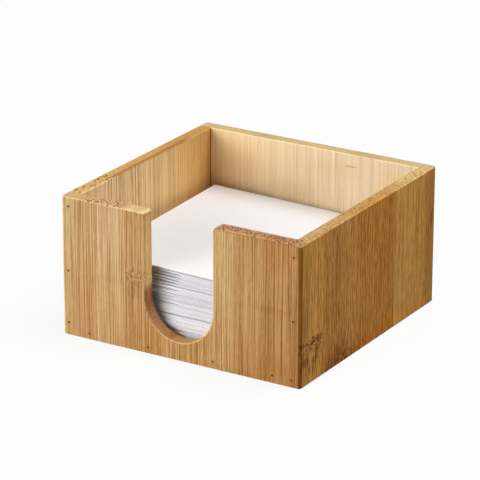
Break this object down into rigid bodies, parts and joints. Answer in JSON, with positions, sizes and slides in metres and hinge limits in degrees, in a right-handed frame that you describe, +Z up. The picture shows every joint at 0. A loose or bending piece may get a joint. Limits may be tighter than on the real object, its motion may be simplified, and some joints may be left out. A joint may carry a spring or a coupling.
{
  "type": "memo pad holder",
  "caption": "Open square bamboo box with a U shaped finger notch in its front board, nailed together at the corners and holding a loose stack of square note sheets.",
  "frame": {"origin": "middle of the underside, on the surface that the holder stands on", "axes": "+Z up, -Y out of the front board with the finger notch, +X to the right seen from the front"},
  "size_m": [0.1076, 0.1068, 0.0575],
  "materials": {
    "bamboo": "sanded bamboo with a thin satin lacquer, fibres upright",
    "brad_steel": "dull dark steel heads set just below the surface",
    "note_paper": "matt uncoated white paper"
  },
  "bodies": {
    "holder": {"front_panel": "bamboo", "back_panel": "bamboo", "left_side_panel": "bamboo", "right_side_panel": "bamboo", "base_panel": "bamboo", "front_left_brads": "brad_steel", "front_right_brads": "brad_steel", "front_base_brads": "brad_steel", "back_left_brads": "brad_steel", "back_right_brads": "brad_steel", "back_base_brads": "brad_steel"},
    "memo_stack": {"memo_sheets_01": "note_paper", "memo_sheets_02": "note_paper", "memo_sheets_03": "note_paper", "memo_sheets_04": "note_paper", "memo_sheets_05": "note_paper", "memo_sheets_06": "note_paper", "memo_sheets_07": "note_paper", "memo_sheets_08": "note_paper", "memo_sheets_09": "note_paper", "memo_sheets_10": "note_paper", "memo_sheets_11": "note_paper", "memo_sheets_12": "note_paper"},
    "top_sheets": {"top_sheets": "note_paper"}
  },
  "joints": [
    {"name": "memo_stack_lift", "type": "slide", "parent": "holder", "child": "memo_stack", "axis": [0, 0, 1], "range_m": [0, 0.06]},
    {"name": "top_sheets_lift", "type": "slide", "parent": "memo_stack", "child": "top_sheets", "axis": [0, 0, 1], "range_m": [0, 0.04]}
  ]
}
